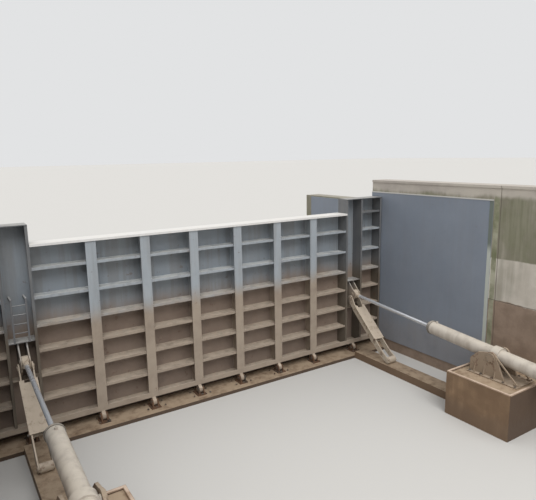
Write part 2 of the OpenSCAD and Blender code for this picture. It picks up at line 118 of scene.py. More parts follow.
def copies(shell, places):  # a shell at many places; places holds one 3 by 4 matrix each, a turn and a shift
    points, faces = shell
    turned = np.einsum("mij,nj->mni", places[:, :, :3], points) + places[:, None, :, 3]
    return joined([(own, faces) for own in turned])


def standing(points, direction, spin=0.0):
    # matrices that stand a small shell's own Z along a direction at each point
    z = unit(direction)
    x = unit(np.cross(axisY if abs(z[1]) < steep else axisX, z))
    y = np.cross(z, x)
    turn = np.stack([x * math.cos(spin) + y * math.sin(spin), y * math.cos(spin) - x * math.sin(spin), z], 1)
    points = np.atleast_2d(points)
    return np.concatenate([np.repeat(turn[None], len(points), 0), points[:, :, None]], 2)


def makePiece(name, shell, body, finish, smooth=False):
    # a shell as an object that rides a body, with every closed part's faces turned outwards
    points, faces = shell
    mesh = bpy.data.meshes.new(name)
    mesh.from_pydata(points.tolist(), [], faces)
    mesh.validate()
    editable = bmesh.new()
    editable.from_mesh(mesh)
    bmesh.ops.recalc_face_normals(editable, faces=editable.faces[:])
    editable.to_mesh(mesh)
    editable.free()
    mesh.polygons.foreach_set("use_smooth", [smooth] * len(mesh.polygons))
    mesh.materials.append(finishes[finish])
    mesh.update()
    piece = bpy.data.objects.new(name, mesh)
    bpy.context.scene.collection.objects.link(piece)
    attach(piece, body)


# materials

class Tree:
    # a node tree with short ways to add to it; what most of them give back is an output socket
    def __init__(self, nodeTree):
        self.nodeTree = nodeTree

    def join(self, target, value):  # links a socket or sets a plain value
        if isinstance(value, bpy.types.NodeSocket):
            self.nodeTree.links.new(value, target)
        else:
            target.default_value = value

    def add(self, kind, inputs=None, **settings):
        node = self.nodeTree.nodes.new(kind)
        for key, value in settings.items():
            setattr(node, key, value)
        for key, value in (inputs or {}).items():
            self.join(node.inputs[key], value)
        return node

    def maths(self, operation, *values):
        return self.add("ShaderNodeMath", dict(enumerate(values)), operation=operation).outputs[0]

    def noise(self, vector, scale, detail, roughness=0.5):
        inputs = {"Vector": vector, "Scale": scale, "Detail": detail, "Roughness": roughness}
        return self.add("ShaderNodeTexNoise", inputs).outputs["Fac"]

    def stretch(self, vector, across, up):  # coordinates times a level scale and an upright one
        scale = (across, across, up)
        return self.add("ShaderNodeVectorMath", {0: vector, 1: scale}, operation="MULTIPLY").outputs[0]

    def part(self, vector, axis):
        return self.add("ShaderNodeSeparateXYZ", {0: vector}).outputs[axis]

    def coordinate(self, kind):
        return self.add("ShaderNodeTexCoord").outputs[kind]

    def ramp(self, value, low, high):  # 0 at low, 1 at high, smooth between
        inputs = {"Value": value, "From Min": low, "From Max": high}
        return self.add("ShaderNodeMapRange", inputs, interpolation_type="SMOOTHSTEP").outputs["Result"]

    def step(self, value, threshold, soft):  # 0 below a threshold, 1 above, over a soft width round it
        share = self.maths("DIVIDE", self.maths("SUBTRACT", value, threshold), soft)
        return self.ramp(share, low=-0.5, high=0.5)

    def between(self, mask, start, end):  # start where the mask is 0, end where it is 1
        inputs = {"Value": mask, "To Min": start, "To Max": end}
        return self.add("ShaderNodeMapRange", inputs).outputs["Result"]


def tideMark(tree, vector, level, ragged, soft):
    # mask of silt below a level: level plus two sizes of noise, minus the height, over a soft width
    fineShare = 0.35
    broad = tree.noise(tree.stretch(vector, across=0.9, up=0.35), scale=1.1, detail=3.0, roughness=0.55)
    fine = tree.noise(tree.stretch(vector, across=6.0, up=1.6), scale=1.0, detail=4.0, roughness=0.6)
    both = tree.maths("MULTIPLY_ADD", fine, fineShare, broad)
    shift = tree.maths("SUBTRACT", both, (1 + fineShare) / 2)
    edge = tree.maths("MULTIPLY_ADD", shift, ragged, level)
    return tree.step(edge, tree.part(vector, "Z"), soft)


def patches(tree, vector, scale, cover, soft):
    # mask of worn or dirty patches: layered noise above a threshold set by the cover
    layered = tree.noise(vector, scale, detail=6.0, roughness=0.62)
    return tree.step(layered, tree.maths("SUBTRACT", 1.0, cover), soft)


def streaks(tree, vector, density, cover):
    # mask of streaks that run down: noise drawn out along the height, kept above a threshold
    gapShare, most = 0.5, 1.25
    thin = tree.noise(tree.stretch(vector, across=1.0, up=0.06), density, detail=5.0, roughness=0.6)
    gaps = tree.noise(vector, scale=0.9, detail=2.0)
    mixed = tree.maths("MULTIPLY_ADD", gaps, gapShare, thin)
    over = tree.maths("SUBTRACT", mixed, tree.maths("SUBTRACT", most, cover))
    return tree.ramp(over, low=-0.12, high=0.16)


def topDustAndLight(tree, vector, amount):
    # mask of what lies on faces that look up, dust and on painted plate also painted light on the tops: the
    # face's own up share times a broad noise
    upward = tree.ramp(tree.part(tree.coordinate("Normal"), "Z"), low=0.35, high=0.9)
    cover = tree.ramp(tree.noise(vector, scale=3.2, detail=5.0, roughness=0.65), low=0.22, high=0.6)
    return tree.maths("MULTIPLY", tree.maths("MULTIPLY", upward, cover), amount)


def facing(tree, vector, toward):
    # mask of faces turned towards a direction: the share of the normal that lies along it
    inputs = {0: tree.coordinate("Normal"), 1: toward}
    share = tree.add("ShaderNodeVectorMath", inputs, operation="DOT_PRODUCT").outputs["Value"]
    return tree.ramp(share, low=0.3, high=0.9)


def band(tree, vector, middle, half, ragged):
    # mask of an upright band: the distance from its middle along Y, made ragged, over its half width
    away = tree.maths("ABSOLUTE", tree.maths("SUBTRACT", tree.part(vector, "Y"), middle))
    edge = tree.maths("MULTIPLY_ADD", tree.noise(vector, scale=4.0, detail=4.0), ragged, away)
    return tree.ramp(tree.maths("DIVIDE", edge, half), low=1.0, high=0.85)


def pourJoints(tree, vector, along, alongStart, up, upStart, width):
    # mask of straight joints in cast concrete: near a multiple of the spacing, along the wall and up it
    warp = tree.noise(vector, scale=2.0, detail=2.0)
    bend = 0.03

    def lines(axis, spacing, start):
        moved = tree.maths("SUBTRACT", tree.part(vector, axis), start)
        folded = tree.maths("PINGPONG", tree.maths("MULTIPLY_ADD", warp, bend, moved), spacing)
        return tree.ramp(tree.maths("DIVIDE", folded, width), low=1.0, high=0.2)
    return tree.maths("MAXIMUM", lines("Y", along, alongStart), lines("Z", up, upStart))


def castGrain(tree, vector, pits):
    # height of rough concrete: coarse noise with scattered pits taken out
    coarse = tree.noise(vector, scale=7.0, detail=8.0, roughness=0.68)
    cells = tree.add("ShaderNodeTexVoronoi", {"Vector": vector, "Scale": 16.0, "Randomness": 1.0})
    pit = tree.ramp(cells.outputs["Distance"], low=0.16, high=0.0)
    return tree.maths("SUBTRACT", coarse, tree.maths("MULTIPLY", pit, pits))


def plateGrain(tree, vector, waves):
    # height of painted plate: slow waves of rolled sheet under a fine brush texture
    brushDepth = 0.06
    slow = tree.maths("MULTIPLY", tree.noise(vector, scale=1.3, detail=1.0), waves)
    return tree.maths("MULTIPLY_ADD", tree.noise(vector, scale=55.0, detail=3.0), brushDepth, slow)


# the inputs of each effect, beside the coordinates
effects = {
    tideMark: ("Level", "Ragged", "Soft"), patches: ("Scale", "Cover", "Soft"), streaks: ("Density", "Cover"),
    topDustAndLight: ("Amount",), facing: ("Toward",), band: ("Middle", "Half", "Ragged"),
    pourJoints: ("Along", "AlongStart", "Up", "UpStart", "Width"),
    castGrain: ("Pits",), plateGrain: ("Waves",)}


def makeGroup(effect, inputs):
    # an effect as a node group: coordinates and its own inputs go in, one value comes out
    group = bpy.data.node_groups.new(effect.__name__, "ShaderNodeTree")
    for key in ("Vector", *inputs):
        kind = "NodeSocketVector" if key in ("Vector", "Toward") else "NodeSocketFloat"
        group.interface.new_socket(name=key, in_out="INPUT", socket_type=kind)
    group.interface.new_socket(name="Value", in_out="OUTPUT", socket_type="NodeSocketFloat")
    tree = Tree(group)
    entry, leave = tree.add("NodeGroupInput"), tree.add("NodeGroupOutput")
    tree.join(leave.inputs["Value"], effect(tree, *[entry.outputs[key] for key in ("Vector", *inputs)]))
    return group


groups = {effect: makeGroup(effect, inputs) for effect, inputs in effects.items()}
print("effect groups built,", len(groups))


class Finish(Tree):
    # a Principled surface; its look holds colours, and each effect's inputs by a stem and the input's name
    def __init__(self, name, look):
        self.material = bpy.data.materials.new(name)
        self.material.use_nodes = True
        super().__init__(self.material.node_tree)
        self.look = look
        self.surface = self.nodeTree.nodes["Principled BSDF"]
        self.place = self.coordinate("Object")

    def effect(self, kind, stem):
        node = self.add("ShaderNodeGroup", node_tree=groups[kind])
        self.join(node.inputs["Vector"], self.place)
        for key in effects[kind]:
            self.join(node.inputs[key], self.look[stem + key])
        return node.outputs[0]

    def layer(self, below, above, mask, share=1.0):  # above over below where the mask is 1, or a share of it
        if share != 1.0:
            mask = self.maths("MULTIPLY", mask, share)
        node = self.add("ShaderNodeMix", data_type="RGBA")
        for key, value in {"Factor": mask, 6: below, 7: above}.items():  # 6 and 7 are the two colours
            self.join(node.inputs[key], value)
        return node.outputs[2]

    def stain(self, below, above, kind, stem):  # a layer whose mask is one effect
        return self.layer(below, above, self.effect(kind, stem), self.look.get(stem + "Share", 1.0))

    def bump(self, height, depth, below=None):
        node = self.add("ShaderNodeBump", {"Height": height, "Distance": depth, "Strength": 1.0})
        if below is not None:
            self.join(node.inputs["Normal"], below)
        return node.outputs[0]

    def complete(self, tone, mask, normal):  # the mask leads the roughness from one end to the other
        self.join(self.surface.inputs["Base Color"], tone)
        rough = self.between(mask, self.look["roughFrom"], self.look["roughTo"])
        self.join(self.surface.inputs["Roughness"], rough)
        self.join(self.surface.inputs["Normal"], normal)
        return self.material


def colour(red, green, blue):  # a colour as it looks on screen, 0 to 255, as the linear light it stands for
    parts = np.array([red, green, blue]) / 255
    linear = np.where(parts <= 0.04045, parts / 12.92, ((parts + 0.055) / 1.055) ** 2.4)
    return (*linear.tolist(), 1.0)


leafLook = {
    "paint": colour(149, 156, 162), "faded": colour(160, 166, 171),
    "toneScale": 0.9, "toneCover": 0.5, "toneSoft": 0.4,
    "runColour": colour(122, 120, 118), "runDensity": 5.0, "runCover": 0.5, "runShare": 0.35,
    "silt": colour(134, 118, 103), "siltPale": colour(157, 142, 125),
    "siltLevel": 3.72, "siltRagged": 0.75, "siltSoft": 0.9, "siltShare": 0.92,
    "thickScale": 1.4, "thickCover": 0.6, "thickSoft": 0.5,
    "rust": colour(104, 74, 56), "rustScale": 5.0, "rustCover": 0.34, "rustSoft": 0.05, "rustShare": 0.4,
    # dust on faces that look up, pale and cool above the tide mark: real dust with painted light on the
    # sky-lit tops
    "dust": colour(208, 208, 204), "dustLow": colour(198, 183, 165), "dustAmount": 0.75,
    "roughFrom": 0.55, "roughTo": 0.92, "rollWaves": 0.6, "rollDepth": 0.01, "crustDepth": 0.002}

paintLooks = {
    "leafPaint": leafLook,
    # the skin at the back of the bays: the leaf paint and silt a little darker, painted shade of the deep
    # bays, with more runs
    "shadedSkinPaint": {
        **leafLook, "paint": colour(134, 141, 148), "faded": colour(143, 150, 156), "siltLevel": 3.76,
        "silt": colour(121, 103, 90), "siltPale": colour(138, 121, 107), "runShare": 0.5},
    "crestPaint": {
        **leafLook, "paint": colour(213, 212, 210), "faded": colour(219, 217, 214),
        "runColour": colour(190, 184, 174), "runShare": 0.2, "rustShare": 0.08, "siltShare": 0.0,
        "dust": colour(216, 212, 205), "dustAmount": 0.5},
    # the box columns and outer bays: the leaf paint, silt and dust much darker, painted shade of the deep
    # open bays
    "shadedBayPaint": {
        **leafLook, "paint": colour(94, 96, 99), "faded": colour(104, 106, 108), "silt": colour(89, 79, 68),
        "siltPale": colour(102, 92, 79), "dust": colour(170, 168, 163), "dustLow": colour(160, 146, 130)},
    "bracketPaint": {
        **leafLook, "paint": colour(96, 98, 102), "faded": colour(108, 108, 110), "rustShare": 0.6,
        "siltLevel": 3.0},
    "liningPaint": {
        **leafLook, "paint": colour(124, 132, 144), "faded": colour(133, 141, 153), "toneScale": 0.35,
        "runShare": 0.12, "siltLevel": 1.6, "siltRagged": 1.4, "siltSoft": 1.2, "siltShare": 0.25,
        "rustShare": 0.1, "dustAmount": 0.5, "rollWaves": 0.25,
        "edge": colour(190, 194, 184), "edgeMiddle": liningLow[1] + 0.07, "edgeHalf": 0.085,
        "edgeRagged": 0.02, "edgeShare": 0.85,
        "moss": colour(104, 112, 100), "mossLevel": 5.2, "mossRagged": 0.8, "mossSoft": 0.5,
        "cap": colour(196, 194, 190), "capLevel": liningHigh[2] - 0.045, "capRagged": 0.01, "capSoft": 0.01},
    "cylinderPaint": {
        **leafLook, "paint": colour(192, 184, 173), "faded": colour(182, 173, 162), "toneScale": 1.8,
        "runColour": colour(140, 128, 114), "runShare": 0.4, "siltLevel": 1.5, "silt": colour(152, 138, 121),
        "rustCover": 0.27, "dust": colour(204, 195, 181), "dustLow": colour(204, 195, 181), "rollWaves": 0.1},
    "glandPaint": {
        **leafLook, "paint": colour(124, 119, 110), "faded": colour(112, 106, 98), "toneScale": 1.8,
        "siltLevel": 1.5, "dust": colour(176, 166, 152), "rollWaves": 0.1},
    "standPaint": {
        **leafLook, "paint": colour(133, 115, 96), "faded": colour(146, 128, 108),
        "silt": colour(136, 119, 101), "siltPale": colour(150, 133, 114), "siltLevel": 2.6,
        "rustCover": 0.42, "rustShare": 0.6, "runShare": 0.5, "dust": colour(176, 160, 141),
        "dustLow": colour(176, 160, 141)},
    "supportPaint": {
        **leafLook, "paint": colour(174, 162, 149), "faded": colour(186, 174, 159),
        "silt": colour(166, 152, 135), "siltPale": colour(180, 167, 149), "siltLevel": 3.9,
        "rustCover": 0.42, "rustShare": 0.6, "runShare": 0.5},
}


def paintedPlate(name, look):
    # plate paint: two tones of paint, runs, silt below the tide mark, rust spots, and on faces that look up
    # dust mixed with painted light
    finish = Finish(name, look)
    paint = finish.stain(look["paint"], look["faded"], patches, "tone")
    paint = finish.stain(paint, look["runColour"], streaks, "run")
    silt = finish.effect(tideMark, "silt")
    thick = finish.effect(patches, "thick")
    paint = finish.layer(paint, finish.layer(look["silt"], look["siltPale"], thick), silt, look["siltShare"])
    paint = finish.stain(paint, look["rust"], patches, "rust")
    if "edge" in look:  # a lining's pale strip, mossy in its upper part, and the pale bar along its top
        strip = finish.stain(look["moss"], look["edge"], tideMark, "moss")
        paint = finish.stain(paint, strip, band, "edge")
        paint = finish.stain(look["cap"], paint, tideMark, "cap")
    # dust with painted light: faces that look up get the pale dust colour
    dust = finish.effect(topDustAndLight, "dust")
    paint = finish.layer(paint, finish.layer(look["dust"], look["dustLow"], silt), dust)
    rolled = finish.bump(finish.effect(plateGrain, "roll"), look["rollDepth"])
    crusted = finish.bump(finish.maths("MULTIPLY", silt, thick), look["crustDepth"], rolled)
    return finish.complete(paint, finish.maths("MAXIMUM", silt, dust), crusted)


wallLook = {
    "high": colour(164, 159, 145), "highDark": colour(126, 122, 106),
    "blotchScale": 0.8, "blotchCover": 0.52, "blotchSoft": 0.35, "blotchShare": 0.7,
    "broadDensity": 3.4, "broadCover": 0.6, "broadShare": 0.8, "thinDensity": 8.0, "thinCover": 0.42,
    "thinShare": 0.16, "moss": colour(112, 116, 86), "mossScale": 0.9, "mossCover": 0.46, "mossSoft": 0.2,
    "mossShare": 0.45, "rim": colour(171, 163, 155), "rimLevel": 6.95, "rimRagged": 0.5, "rimSoft": 0.2,
    "pale": colour(211, 205, 195), "paleDark": colour(190, 183, 172), "limeScale": 1.3, "limeCover": 0.5,
    "limeSoft": 0.4, "weepDensity": 2.0, "weepCover": 0.45, "weepShare": 0.5,
    "paleLevel": 4.86, "paleRagged": 0.12, "paleSoft": 0.05,
    "below": colour(154, 135, 119), "belowDark": colour(132, 114, 99), "mudScale": 1.7, "mudCover": 0.5,
    "mudSoft": 0.4, "siltLevel": 3.38, "siltRagged": 0.3, "siltSoft": 0.06,
    "grout": colour(170, 168, 148), "groutScale": 1.1, "groutCover": 0.48, "groutSoft": 0.3,
    "stripMiddle": liningLow[1] - 0.125, "stripHalf": 0.125, "stripRagged": 0.05, "stripShare": 0.9,
    "innerStart": 8.4, "innerEnd": 8.35,
    "joint": colour(104, 96, 84), "castAlong": 3.1, "castAlongStart": liningLow[1] - 0.25, "castUp": 3.48,
    "castUpStart": 3.37, "castWidth": 0.022, "castShare": 0.65, "dustAmount": 0.5,
    "roughFrom": 0.82, "roughTo": 0.95, "grainPits": 0.4, "grainDepth": 0.006, "grooveDepth": 0.012}


def castWall(name, look):
    # cast wall, from the top: mossy streaked pour, a pale lime-washed one, brown silt below the tide mark
    finish = Finish(name, look)
    blotches = finish.effect(patches, "blotch")
    above = finish.layer(look["high"], look["highDark"], blotches, look["blotchShare"])
    above = finish.stain(above, look["highDark"], streaks, "broad")
    above = finish.stain(above, look["moss"], patches, "moss")
    above = finish.stain(above, look["paleDark"], streaks, "thin")
    underRim = finish.effect(tideMark, "rim")
    above = finish.layer(finish.layer(look["rim"], look["paleDark"], blotches), above, underRim)
    pale = finish.stain(look["pale"], look["paleDark"], patches, "lime")
    pale = finish.stain(pale, look["highDark"], streaks, "weep")
    below = finish.stain(look["below"], look["belowDark"], patches, "mud")
    base = finish.stain(finish.stain(above, pale, tideMark, "pale"), below, tideMark, "silt")
    grout = finish.stain(look["grout"], look["moss"], patches, "grout")
    strip = finish.maths("MULTIPLY", finish.effect(band, "strip"), underRim)
    apart = finish.maths("ABSOLUTE", finish.part(finish.place, "X"))
    strip = finish.maths("MULTIPLY", strip, finish.ramp(apart, look["innerStart"], look["innerEnd"]))
    base = finish.layer(base, grout, strip, look["stripShare"])
    joint = finish.effect(pourJoints, "cast")
    base = finish.layer(base, look["joint"], joint, look["castShare"])
    base = finish.stain(base, look["rim"], topDustAndLight, "dust")
    grain = finish.bump(finish.effect(castGrain, "grain"), look["grainDepth"])
    groove = finish.bump(finish.maths("SUBTRACT", 1.0, joint), look["grooveDepth"], grain)
    return finish.complete(base, blotches, groove)


blockLook = {
    "base": colour(150, 124, 97), "dark": colour(118, 95, 73), "blotchScale": 1.9, "blotchCover": 0.5,
    "blotchSoft": 0.3, "streakDensity": 4.0, "streakCover": 0.6, "streakShare": 0.7,
    "wet": colour(106, 86, 68), "dampLevel": 0.55, "dampRagged": 0.8, "dampSoft": 0.5, "dampShare": 0.7,
    # painted shade: a dark brown for the faces turned downstream, away from the lamps
    "shade": colour(72, 57, 45), "shadeToward": (0.0, -1.0, 0.0), "shadeShare": 0.9,
    "dust": colour(182, 162, 138), "dustAmount": 0.7,
    "roughFrom": 0.93, "roughTo": 0.72, "grainPits": 0.8, "grainDepth": 0.012}

# the mortar crust: paler, with less of the painted shade on its downstream faces
mortarLook = {
    **blockLook, "base": colour(206, 184, 164), "dark": colour(160, 134, 112), "dust": colour(214, 195, 177),
    "shadeShare": 0.3}


def castBlock(name, look):
    # low blocks: brown concrete with dark stains, wetter near the ground, painted shade on the faces turned
    # downstream, dusty on top
    finish = Finish(name, look)
    base = finish.stain(look["base"], look["dark"], patches, "blotch")
    base = finish.stain(base, look["dark"], streaks, "streak")
    damp = finish.effect(tideMark, "damp")
    base = finish.layer(base, look["wet"], damp, look["dampShare"])
    # painted shade on the faces turned downstream
    base = finish.stain(base, look["shade"], facing, "shade")
    base = finish.stain(base, look["dust"], topDustAndLight, "dust")
    return finish.complete(base, damp, finish.bump(finish.effect(castGrain, "grain"), look["grainDepth"]))


rubberLook = {
    "rubber": colour(38, 38, 39), "worn": colour(64, 62, 58), "wornScale": 3.0, "wornCover": 0.5,
    "wornSoft": 0.3, "roughFrom": 0.6, "roughTo": 0.85, "grainWaves": 0.3, "grainDepth": 0.002}


def sealRubber(name, look):
    # seal strip: near black, greyed in patches with silt
    finish = Finish(name, look)
    worn = finish.effect(patches, "worn")
    grain = finish.bump(finish.effect(plateGrain, "grain"), look["grainDepth"])
    return finish.complete(finish.layer(look["rubber"], look["worn"], worn), worn, grain)


pinLook = {
    "clean": colour(150, 148, 144), "dull": colour(120, 114, 106), "stain": colour(98, 72, 52),
    "dullScale": 5.0, "dullCover": 0.55, "dullSoft": 0.3,
    "stainScale": 6.0, "stainCover": 0.5, "stainSoft": 0.12, "stainShare": 0.8,
    "roughFrom": 0.3, "roughTo": 0.7, "metalFrom": 0.9, "metalTo": 0.25,
    "grainWaves": 0.1, "grainDepth": 0.001}

metalLooks = {
    "rodChrome": {
        **pinLook, "clean": colour(214, 216, 220), "dull": colour(190, 191, 196),
        "stain": colour(150, 140, 126),
        "dullScale": 2.2, "dullCover": 0.35, "stainScale": 1.3, "stainCover": 0.16, "stainShare": 0.2,
        "roughFrom": 0.26, "roughTo": 0.34, "metalFrom": 0.55, "grainDepth": 0.0002},
    "pinSteel": pinLook,
    "castIron": {
        **pinLook, "clean": colour(98, 94, 90), "dull": colour(84, 76, 68), "stain": colour(104, 74, 52),
        "dullScale": 3.0, "dullCover": 0.6, "stainScale": 4.0, "stainCover": 0.55,
        "roughFrom": 0.55, "roughTo": 0.9, "metalFrom": 0.7},
}


def bareMetal(name, look):
    # metal that shows: a clean tone, dull patches, and brown staining where water dries
    finish = Finish(name, look)
    dull = finish.effect(patches, "dull")
    stain = finish.effect(patches, "stain")
    base = finish.layer(look["clean"], look["dull"], dull)
    base = finish.layer(base, look["stain"], stain, look["stainShare"])
    metal = finish.between(stain, look["metalFrom"], look["metalTo"])
    finish.join(finish.surface.inputs["Metallic"], metal)
    grain = finish.bump(finish.effect(plateGrain, "grain"), look["grainDepth"])
    return finish.complete(base, finish.maths("MAXIMUM", dull, stain), grain)


finishes = {name: paintedPlate(name, look) for name, look in paintLooks.items()}
finishes |= {name: bareMetal(name, look) for name, look in metalLooks.items()}
finishes["castWall"] = castWall("castWall", wallLook)
finishes["castBlock"] = castBlock("castBlock", blockLook)
finishes["mortar"] = castBlock("mortar", mortarLook)
finishes["sealRubber"] = sealRubber("sealRubber", rubberLook)
print("finishes built,", len(finishes))


def bothSides(*names):
    return [f"{side}_{name}" for side in sides for name in names]


dressing = {
    "castBlock": ["sill_slab", *bothSides("pier_block", "prop_track")],
    "castWall": bothSides("wall"),
    "liningPaint": bothSides("lining"),
    "leafPaint": ["bottom_beam", *[f"{name}_{i}" for name in ("girder", "rib_row") for i in range(1, 7)]],
    "shadedSkinPaint": ["skin_plate"],
    "crestPaint": ["crest_plate"],
    # the box columns and outer bays take the painted shade of the deep bays
    "shadedBayPaint": bothSides("box_column", "outer_bay"),
    "bracketPaint": ["access_ladder", "hinge_lugs", *bothSides("drive_bracket")],
    "cylinderPaint": bothSides("barrel", "ports", "trunnion_collar"),
    "glandPaint": bothSides("gland"),
    "supportPaint": bothSides("prop", "rod_eye"),
    "standPaint": bothSides("trunnion_stand"),
    "sealRubber": ["seals"],
    "rodChrome": bothSides("rod"),
    "pinSteel": ["hinge_pins"],
    "castIron": ["hinge_bearings"],
}


def dressNode(node, material):  # a node keeps its mesh and gets a finish
    if node.material_slots:
        node.material_slots[0].material = material
    else:
        node.data.materials.append(material)


for finish, names in dressing.items():
    for name in names:
        dressNode(nodes[name], finishes[finish])
print("nodes dressed")


# small pieces: bolts, clamp bars and weld seams

def circle(direction, count, turn=0.0):  # directions all round an axis
    z = unit(direction)
    x = unit(np.cross(z, axisZ if abs(z[2]) < steep else axisX))
    angle = np.arange(count) * 2 * math.pi / count + turn
    return np.outer(np.cos(angle), x) + np.outer(np.sin(angle), np.cross(z, x))


def ringPlaces(centres, directions, radius, count, turn=0.0):  # places of bolts in a circle round each axis
    rings = zip(centres, directions)
    return np.concatenate([standing(c + radius * circle(d, count, turn), d) for c, d in rings])


# each part of a bolt: how many corners, then the radius and height of its rings, as shares of the size
boltParts = {"washer": (12, ((1.05, 0.0), (1.05, 0.16), (0.5, 0.16))),
             "head": (6, ((0.78, 0.14), (0.78, 0.72), (0.66, 0.82))),
             "stud": (6, ((0.4, 0.8), (0.4, 1.1)))}


def boltField(name, size, places, body, finish="pinSteel"):
    shells = []
    for count, rings in boltParts.values():
        angle = np.arange(count) * 2 * math.pi / count
        flat = np.stack([np.cos(angle), np.sin(angle), np.zeros(count)], 1)
        rings = [flat * (size * radius) + axisZ * (size * height) for radius, height in rings]
        shells.append(tube(np.stack(rings)))
    makePiece(name, copies(joined(shells), places), body, finish)


bearingBolts = {"size": 0.034, "inX": 0.035, "inY": 0.045, "gap": 0.3, "spin": 0.2}


def buildBearingBolts(look):
    # four bolts near the corners of each bearing's base; a gap along X parts one bearing from the next
    pins = np.unique(np.round(corners("hinge_pins")[:, 0], 1))
    starts = pins[np.diff(pins, prepend=-np.inf) > look["gap"]]
    middles = (starts + pins[np.diff(pins, append=np.inf) > look["gap"]]) / 2
    points = corners("hinge_bearings")
    top = levels(points[:, 2])[1]
    base = points[np.abs(points[:, 2] - top) < hair]
    halfX = np.abs(base[:, :1] - middles).min(1).max() - look["inX"]
    halfY = -points[:, 1].min() - look["inY"]
    spots = [[x + a * halfX, b * halfY, top] for x in middles for a in (-1, 1) for b in (-1, 1)]
    boltField("bearing_bolts", look["size"], standing(spots, axisZ, look["spin"]), "root")


buildBearingBolts(bearingBolts)

standBolts = {"size": 0.04, "inX": 0.05, "inY": 0.08, "perSide": 5}


def buildStandBolts(look):
    # a row of anchor bolts along each long edge of the stands' base plates
    spots = []
    for side in sides:
        points = corners(f"{side}_trunnion_stand")
        low, high = points.min(0), points.max(0)
        top = levels(points[:, 2])[1]
        for x in (low[0] + look["inX"], high[0] - look["inX"]):
            rows = np.linspace(low[1] + look["inY"], high[1] - look["inY"], look["perSide"])
            spots += [[x, y, top] for y in rows]
    boltField("stand_bolts", look["size"], standing(spots, axisZ), "root")


buildStandBolts(standBolts)


def cylinderAxis(side):  # the trunnion's point and the unit vector from it to the rod's eye
    swing = joints[f"{side}_cylinder_swing"]
    slide = joints[f"{side}_rod_slide"]
    return np.array(swing["pos_m"], float), -np.array(slide["axis"], float)


glandBolts = {"size": 0.024, "count": 16, "inFromRim": 0.026, "flange": 0.06}


def buildGlandBolts(side, look):
    # a ring of bolts on the face of the gland's flange, round the cylinder's axis
    origin, direction = cylinderAxis(side)
    start = reach(f"{side}_gland", origin, direction)[0]
    offsets = corners(f"{side}_gland") - origin
    rim = np.linalg.norm(offsets - np.outer(offsets @ direction, direction), axis=1).max()
    centre = origin + direction * (start + look["flange"])
    places = ringPlaces([centre], [direction], rim - look["inFromRim"], look["count"])
    boltField(f"{side}_gland_bolts", look["size"], places, f"{side}_cylinder",
              "cylinderPaint")


for side in sides:
    buildGlandBolts(side, glandBolts)

clampBars = {"wide": 0.09, "thick": 0.014, "chamfer": 0.004, "inset": 0.05, "overFoot": 0.12,
             "underTop": 0.02, "inFromEnds": 0.1, "spacing": 0.42, "boltEnds": (0.04, 0.96), "bolt": 0.016}


def buildClampBars(look):
    # flat bars, chamfered outside, that clamp the rubber along both ends and the foot of the skin
    low, high = span("skin_plate")
    x, back, z = high[0] - look["inset"], high[1], low[2] + look["inset"]
    half, thick, cut = look["wide"] / 2, look["thick"], look["chamfer"]
    section = np.array([[-half, 0], [half, 0], [half, thick - cut], [half - cut, thick], [cut - half, thick],
                        [-half, thick - cut]])
    foot, top, inner = low[2] + look["overFoot"], high[2] - look["underTop"], x - look["inFromEnds"]
    paths = [([-x, back, foot], [-x, back, top], axisX), ([x, back, foot], [x, back, top], axisX),
             ([-inner, back, z], [inner, back, z], axisZ)]
    bars, bolts = [], []
    for start, end, across in paths:
        offsets = section[:, :1] * across + section[:, 1:] * axisY
        bars.append(tube(np.stack([start + offsets, end + offsets])))
        along = np.subtract(end, start)
        count = max(2, round(np.linalg.norm(along) / look["spacing"]))
        steps = np.linspace(*look["boltEnds"], count)[:, None]
        bolts.append(start + along * steps + axisY * thick)
    makePiece("seal_clamp_bars", joined(bars), "leaf", "leafPaint")
    boltField("seal_clamp_bolts", look["bolt"], standing(np.concatenate(bolts), axisY), "leaf")


buildClampBars(clampBars)
print("bolts and clamp bars built")

weldSeams = {"leg": 0.012, "swell": 0.72, "sides": 4, "fromFront": 0.02, "edge": 0.01}


def seams(name, runs, body, finish, look):
    # fillet welds: each run is a start, an end and the two unit directions of the plates it joins;
    # the section goes round a quarter turn between the plates, drawn in a little between the legs
    turn = np.linspace(0, math.pi / 2, look["sides"])
    pull = 1 - (1 - look["swell"]) * np.sin(2 * turn)
    starts, ends, one, other = np.array(runs, float).transpose(1, 0, 2)[:, :, None]
    arc = (np.cos(turn) * pull)[:, None] * one + (np.sin(turn) * pull)[:, None] * other
    section = np.concatenate([np.zeros_like(one), arc * look["leg"]], 1)
    rings = np.stack([starts + section, ends + section], 1)
    makePiece(name, joined([tube(pair) for pair in rings]), body, finish)


def buildRibWelds(look):
    # a seam on top of each shelf along each web it meets, and along the skin behind it
    for row in range(1, 7):
        points = corners(f"rib_row_{row}")
        ends = levels(points[:, 0])
        fore, back = points[:, 1].min() + look["fromFront"], points[:, 1].max()
        top = points[points[:, 1] > back - look["edge"]][:, 2].max()
        runs = []
        for a, b in zip(ends[::2], ends[1::2]):
            runs += [[[a, fore, top], [a, back, top], axisX, axisZ],
                     [[b, fore, top], [b, back, top], -axisX, axisZ],
                     [[a, back, top], [b, back, top], -axisY, axisZ]]
        seams(f"rib_welds_{row}", runs, "leaf", "leafPaint", look)


def buildGirderWelds(look):
    # seams that tie each girder's web to the skin, from the bottom plate up to the crest plate
    runs = []
    for i in range(1, 7):
        points = corners(f"girder_{i}")
        web = points[points[:, 1] > points[:, 1].max() - look["edge"]]
        (x0, y, low), (x1, _, high) = web.min(0), web.max(0)
        runs += [[[x0, y, low], [x0, y, high], -axisX, -axisY], [[x1, y, low], [x1, y, high], axisX, -axisY]]
    seams("girder_welds", runs, "leaf", "leafPaint", look)


buildRibWelds(weldSeams)
buildGirderWelds(weldSeams)


